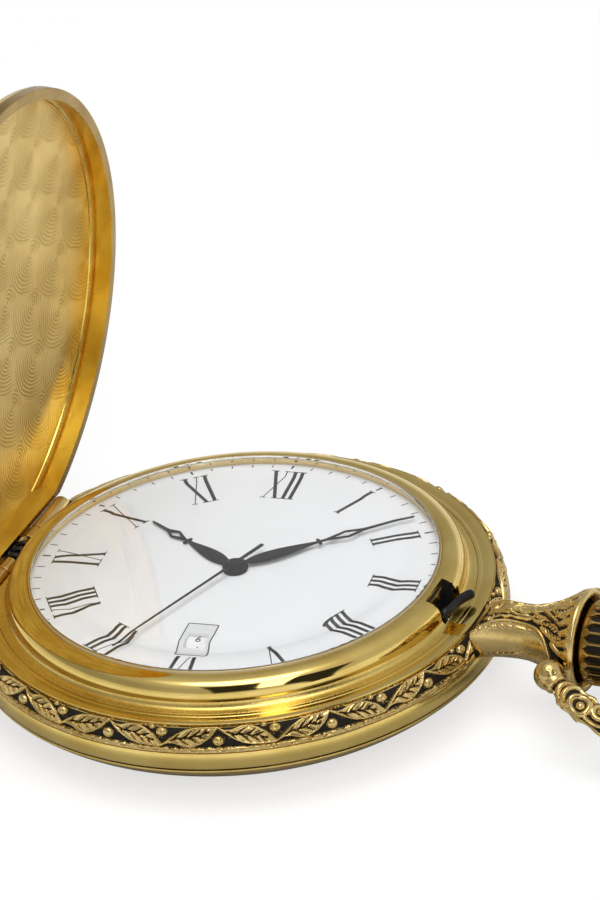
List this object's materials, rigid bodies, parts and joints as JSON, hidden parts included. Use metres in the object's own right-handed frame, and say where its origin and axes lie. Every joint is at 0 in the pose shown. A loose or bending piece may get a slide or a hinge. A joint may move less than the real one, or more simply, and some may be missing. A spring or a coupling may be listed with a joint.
{
  "type": "quartz hunter-case pocket watch",
  "caption": "Hunter-case quartz pocket watch with a sprung lid, white Roman dial with date, hands, fluted push crown, leafy pendant and swinging bow.",
  "frame": {"origin": "centre of the flat on the back cover that the watch rests on, under the dial centre", "axes": "+Z out of the dial, +X from the dial centre through the pendant and crown, the lid's hinge on the -X side"},
  "size_m": [0.072, 0.0482, 0.0524],
  "materials": {
    "case_gold": "polished gold plating over brass, slightly aged",
    "cover_gold": "gold plating with an engine-turned inside",
    "antique_gold": "gold plating with black patina in the ornament",
    "hinge_gold": "darker gold plating",
    "crystal": "clear polished mineral glass",
    "enamel": "white lacquer",
    "hand_black": "black finish",
    "black_steel": "black oxide",
    "steel": "plain ground steel",
    "movement_brass": "plain brass",
    "holder_plastic": "moulded",
    "circuit_green": "solder mask",
    "coil_copper": "enamelled copper wire",
    "gasket_rubber": "matt",
    "gasket_clear": "translucent"
  },
  "bodies": {
    "case": {"case_band": "case_gold", "pendant": "antique_gold", "back_cover": "case_gold", "back_gasket": "gasket_rubber", "bezel": "case_gold", "crystal": "crystal", "crystal_gasket": "gasket_clear", "rehaut_ring": "hinge_gold", "dial": "enamel", "date_frame": "enamel", "movement_holder": "holder_plastic", "main_plate": "movement_brass", "calendar_plate": "steel", "train_bridge": "movement_brass", "movement_screws": "steel", "circuit_board": "circuit_green", "quartz_can": "steel", "drive_coil": "coil_copper", "stator": "steel", "battery": "steel", "battery_clamp": "steel", "hinge_pin": "steel", "lift_spring": "black_steel"},
    "cover": {"front_cover": "cover_gold", "cover_knuckles": "hinge_gold"},
    "bow": {"bow": "antique_gold"},
    "clutch": {"clutch_pinion": "steel"},
    "sleeve": {"push_sleeve": "steel"},
    "crown": {"crown": "hinge_gold", "crown_gasket": "gasket_rubber", "stem": "steel"},
    "catch": {"catch_spring": "black_steel"},
    "minute": {"minute_hand": "hand_black", "cannon_pinion": "steel"},
    "hour": {"hour_hand": "hand_black", "hour_wheel": "movement_brass"},
    "minute_wheel": {"minute_wheel": "movement_brass"},
    "date_idler": {"date_idler": "movement_brass"},
    "date_driver": {"date_driver": "movement_brass"},
    "date_ring": {"date_ring": "enamel"},
    "seconds": {"seconds_hand": "hand_black", "seconds_wheel": "movement_brass"},
    "third_wheel": {"third_wheel": "movement_brass"},
    "centre_wheel": {"centre_wheel": "movement_brass"},
    "fifth_wheel": {"fifth_wheel": "movement_brass"},
    "rotor": {"rotor": "steel"}
  },
  "joints": [
    {"name": "cover_hinge", "type": "hinge", "parent": "case", "child": "cover", "pos_m": [-0.02145, 0, 0.0077], "axis": [0, -1, 0], "range_deg": [-84.3, 0], "stiffness_Nm_per_rad": 0.002, "springref_deg": 28.65},
    {"name": "bow_swing", "type": "hinge", "parent": "case", "child": "bow", "pos_m": [0.0317, 0, 0.00725], "axis": [0, -1, 0], "range_deg": [-120, 170]},
    {"name": "crown_turn", "type": "hinge", "parent": "case", "child": "clutch", "pos_m": [0.0115, 0, 0.00725], "axis": [1, 0, 0], "continuous": true},
    {"name": "crown_press", "type": "slide", "parent": "clutch", "child": "sleeve", "axis": [1, 0, 0], "range_m": [-0.0006, 0], "stiffness_N_per_m": 500, "springref_m": 0.001},
    {"name": "crown_pull", "type": "slide", "parent": "sleeve", "child": "crown", "axis": [1, 0, 0], "range_m": [0, 0.001]},
    {"name": "catch_release", "type": "slide", "parent": "case", "child": "catch", "axis": [1, 0, 0], "range_m": [-0.0006, 0]},
    {"name": "minute_turn", "type": "hinge", "parent": "case", "child": "minute", "pos_m": [0, 0, 0.0072], "axis": [0, 0, 1], "continuous": true},
    {"name": "hour_turn", "type": "hinge", "parent": "case", "child": "hour", "pos_m": [0, 0, 0.0072], "axis": [0, 0, 1], "continuous": true},
    {"name": "minute_wheel_turn", "type": "hinge", "parent": "case", "child": "minute_wheel", "pos_m": [-0.0026, 0.0015, 0.0072], "axis": [0, 0, 1], "continuous": true},
    {"name": "date_idler_turn", "type": "hinge", "parent": "case", "child": "date_idler", "pos_m": [0.00143, -0.00248, 0.0072], "axis": [0, 0, 1], "continuous": true},
    {"name": "date_driver_turn", "type": "hinge", "parent": "case", "child": "date_driver", "pos_m": [0.00484, -0.00486, 0.0072], "axis": [0, 0, 1], "continuous": true},
    {"name": "date_ring_turn", "type": "hinge", "parent": "case", "child": "date_ring", "pos_m": [0, 0, 0.0072], "axis": [0, 0, 1], "continuous": true},
    {"name": "seconds_turn", "type": "hinge", "parent": "case", "child": "seconds", "pos_m": [0, 0, 0.005], "axis": [0, 0, 1], "continuous": true},
    {"name": "third_wheel_turn", "type": "hinge", "parent": "case", "child": "third_wheel", "pos_m": [-0.00066, -0.00372, 0.005], "axis": [0, 0, 1], "continuous": true},
    {"name": "centre_wheel_turn", "type": "hinge", "parent": "case", "child": "centre_wheel", "pos_m": [0, 0, 0.005], "axis": [0, 0, 1], "continuous": true},
    {"name": "fifth_wheel_turn", "type": "hinge", "parent": "case", "child": "fifth_wheel", "pos_m": [0.00315, 0.0022, 0.005], "axis": [0, 0, 1], "continuous": true},
    {"name": "rotor_turn", "type": "hinge", "parent": "case", "child": "rotor", "pos_m": [0.00673, 0.00283, 0.005], "axis": [0, 0, 1], "continuous": true}
  ],
  "couplings": [
    {"joint": "catch_release", "follows": "crown_press", "ratio": 1},
    {"joint": "hour_turn", "follows": "minute_turn", "ratio": 0.083333},
    {"joint": "minute_wheel_turn", "follows": "minute_turn", "ratio": -0.33333},
    {"joint": "date_idler_turn", "follows": "minute_turn", "ratio": -0.069444},
    {"joint": "date_driver_turn", "follows": "minute_turn", "ratio": 0.041667},
    {"joint": "date_ring_turn", "follows": "minute_turn", "ratio": 0.0013441},
    {"joint": "third_wheel_turn", "follows": "seconds_turn", "ratio": -0.13333},
    {"joint": "centre_wheel_turn", "follows": "seconds_turn", "ratio": 0.016667},
    {"joint": "fifth_wheel_turn", "follows": "seconds_turn", "ratio": -5},
    {"joint": "rotor_turn", "follows": "seconds_turn", "ratio": 30}
  ]
}
